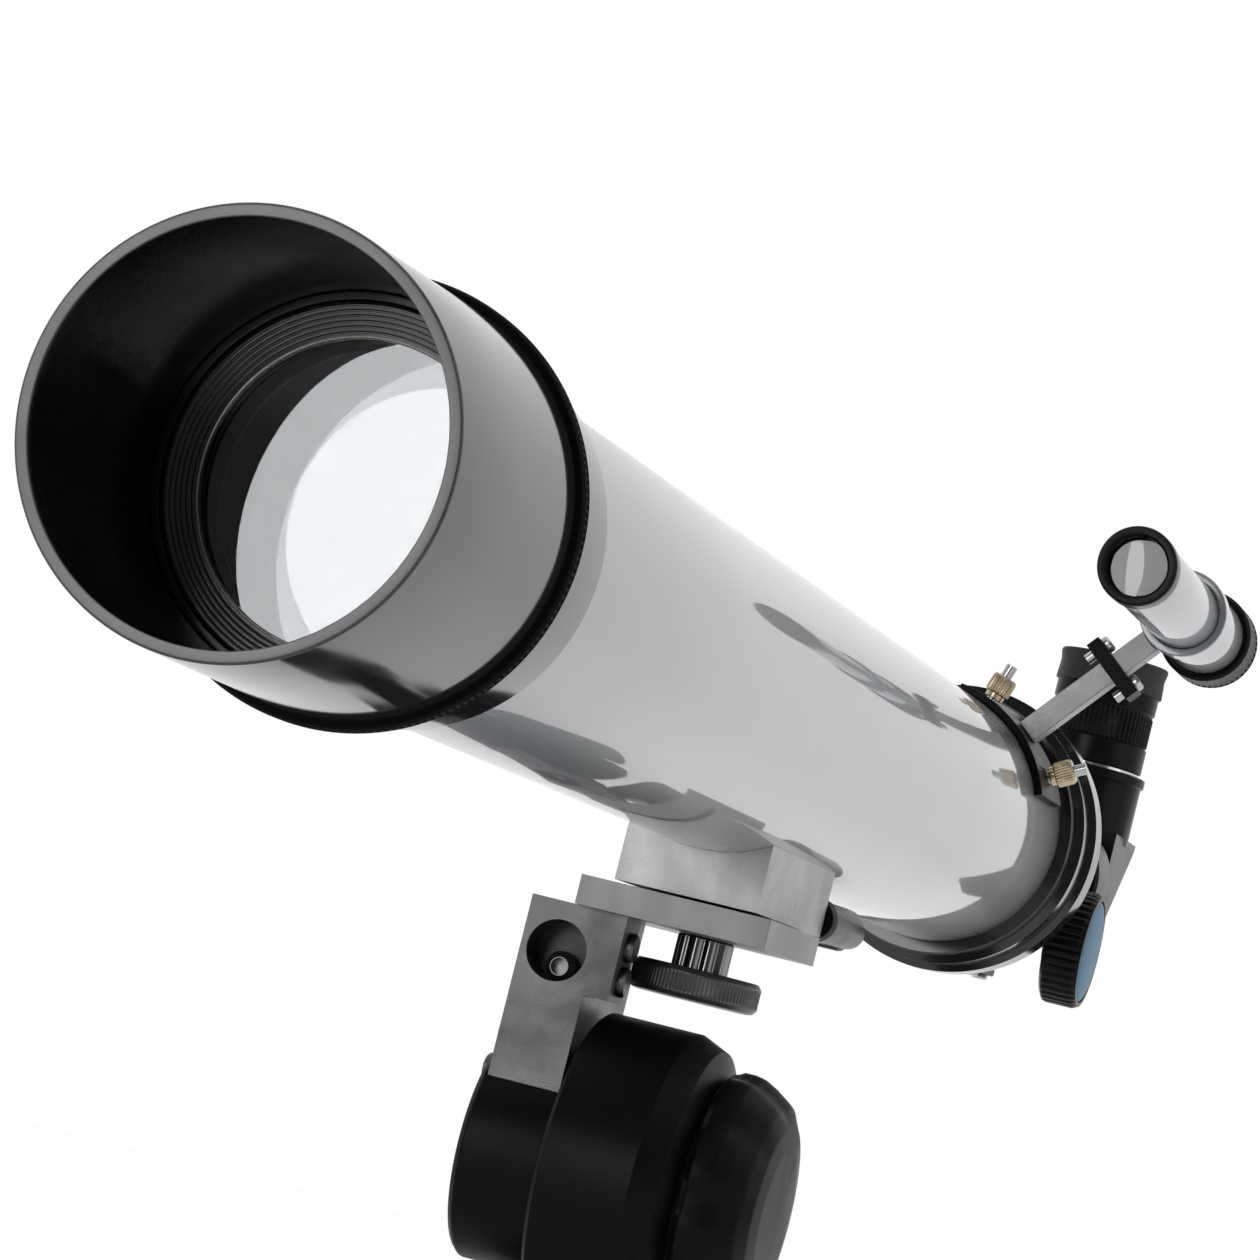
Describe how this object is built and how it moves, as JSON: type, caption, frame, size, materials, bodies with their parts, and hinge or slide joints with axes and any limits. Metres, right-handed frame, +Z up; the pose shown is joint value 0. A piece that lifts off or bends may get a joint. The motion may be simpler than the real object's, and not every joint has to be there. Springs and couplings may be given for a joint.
{
  "type": "refractor telescope",
  "caption": "Slim refracting telescope with dew shield, rack focuser, right-angle eyepiece and finder, held on a one-arm tilting and turning tripod head.",
  "frame": {"origin": "centre of the tripod head's bottom face, at the mouth of the tripod screw socket", "axes": "+Z up along the azimuth axis; the objective looks along -Y; +X is the side of the altitude clamp knob and of the finder"},
  "size_m": [0.1138, 0.9175, 0.2853],
  "materials": {
    "black_plastic": "gloss",
    "black_casting": "satin black paint",
    "black_cell": "matte",
    "tube_silver": "gloss silver grey paint",
    "cast_aluminium": "satin cast",
    "steel": "satin",
    "chrome": "polished",
    "brass": "knurled",
    "nylon": "matte",
    "blue_cap": "gloss",
    "rubber": "matte",
    "lens_glass": "coated",
    "mirror": "polished"
  },
  "bodies": {
    "base": {"tripod_base": "black_casting", "azimuth_washer": "nylon"},
    "azimuth_clamp": {"azimuth_clamp_knob": "black_plastic"},
    "head": {"azimuth_head": "black_casting", "azimuth_spindle": "steel"},
    "telescope": {"arm_hub": "black_casting", "altitude_discs": "nylon", "altitude_bolt": "steel", "tilt_arm": "cast_aluminium", "cross_bolt": "steel", "plate_lug": "cast_aluminium", "bracket_screws": "steel", "mount_plate": "cast_aluminium", "tube_saddle": "cast_aluminium", "pan_handle": "black_casting", "main_tube": "tube_silver", "tube_baffles": "black_cell", "dew_shield": "black_plastic", "objective_cell": "black_cell", "lens_retaining_ring": "black_cell", "objective_crown": "lens_glass", "lens_spacer": "black_cell", "objective_flint": "lens_glass", "focuser_body": "black_casting", "pinion_cover": "black_casting", "pinion_cover_screws": "steel", "finder_foot": "black_casting", "finder_studs": "steel", "finder_stalk": "cast_aluminium", "finder_crossbar": "black_casting", "crossbar_screws": "steel", "finder_clamp_ring": "black_casting", "finder_barrel": "tube_silver", "finder_front_ring": "black_plastic", "finder_objective": "lens_glass", "finder_rear_barrel": "tube_silver", "finder_reticle": "black_cell"},
    "altitude_clamp": {"altitude_knob": "black_plastic"},
    "saddle_clamp": {"saddle_knob": "black_casting"},
    "focus_shaft": {"focus_pinion": "steel", "focus_knob_left": "black_plastic", "focus_knob_right": "black_plastic", "focus_knob_caps": "blue_cap"},
    "drawtube": {"draw_tube": "chrome", "focus_rack": "nylon", "eyepiece_holder": "black_plastic"},
    "holder_screw": {"holder_thumbscrew": "chrome"},
    "diagonal": {"diagonal_body": "black_plastic", "diagonal_nose": "chrome", "diagonal_mirror": "mirror", "diagonal_cover": "black_plastic"},
    "diagonal_screw": {"diagonal_thumbscrew": "chrome"},
    "eyepiece": {"eyepiece_barrel": "chrome", "eyepiece_body": "black_plastic", "eyecup": "rubber", "eyepiece_lenses": "lens_glass"},
    "finder_focus": {"finder_eyepiece": "black_plastic", "finder_eye_lens": "lens_glass"},
    "upper_nut": {"finder_nut_upper": "brass"},
    "lower_nut": {"finder_nut_lower": "brass"}
  },
  "joints": [
    {"name": "azimuth_turn", "type": "hinge", "parent": "base", "child": "head", "pos_m": [0, 0, 0.036], "axis": [0, 0, 1], "continuous": true},
    {"name": "azimuth_clamp_turn", "type": "hinge", "parent": "base", "child": "azimuth_clamp", "pos_m": [0, 0.034, 0.0265], "axis": [0, 1, 0], "range_deg": [0, 270]},
    {"name": "altitude_tilt", "type": "hinge", "parent": "head", "child": "telescope", "pos_m": [0, 0, 0.092], "axis": [-1, 0, 0], "range_deg": [-20, 80]},
    {"name": "altitude_clamp_turn", "type": "hinge", "parent": "telescope", "child": "altitude_clamp", "pos_m": [0.02, 0, 0.092], "axis": [1, 0, 0], "range_deg": [0, 270]},
    {"name": "saddle_clamp_turn", "type": "hinge", "parent": "telescope", "child": "saddle_clamp", "pos_m": [0, 0.01, 0.14], "axis": [0, 0, -1], "range_deg": [0, 360]},
    {"name": "drawtube_slide", "type": "slide", "parent": "telescope", "child": "drawtube", "axis": [0, 1, 0], "range_m": [-0.06, 0.02]},
    {"name": "focus_knob_turn", "type": "hinge", "parent": "telescope", "child": "focus_shaft", "pos_m": [0, 0.317, 0.18005], "axis": [1, 0, 0], "range_deg": [-276, 822]},
    {"name": "holder_screw_turn", "type": "hinge", "parent": "drawtube", "child": "holder_screw", "pos_m": [-0.02, 0.444, 0.204], "axis": [-1, 0, 0], "range_deg": [0, 270]},
    {"name": "diagonal_turn", "type": "hinge", "parent": "drawtube", "child": "diagonal", "pos_m": [0, 0.45, 0.204], "axis": [0, 1, 0], "continuous": true},
    {"name": "diagonal_screw_turn", "type": "hinge", "parent": "diagonal", "child": "diagonal_screw", "pos_m": [-0.02, 0.485, 0.2345], "axis": [-1, 0, 0], "range_deg": [0, 270]},
    {"name": "eyepiece_slide", "type": "slide", "parent": "diagonal", "child": "eyepiece", "axis": [0, 0, 1], "range_m": [0, 0.018]},
    {"name": "finder_focus_turn", "type": "hinge", "parent": "telescope", "child": "finder_focus", "pos_m": [0.05845, 0.28, 0.27244], "axis": [0, 1, 0], "range_deg": [-270, 270]},
    {"name": "upper_nut_turn", "type": "hinge", "parent": "telescope", "child": "upper_nut", "pos_m": [0.01269, 0.23, 0.24193], "axis": [0.3173, 0, 0.9483], "range_deg": [0, 360]},
    {"name": "lower_nut_turn", "type": "hinge", "parent": "telescope", "child": "lower_nut", "pos_m": [0.03548, 0.23, 0.22247], "axis": [0.887, 0, 0.4617], "range_deg": [0, 360]}
  ],
  "couplings": [
    {"joint": "focus_knob_turn", "follows": "drawtube_slide", "rad_per_m": -238.1}
  ]
}
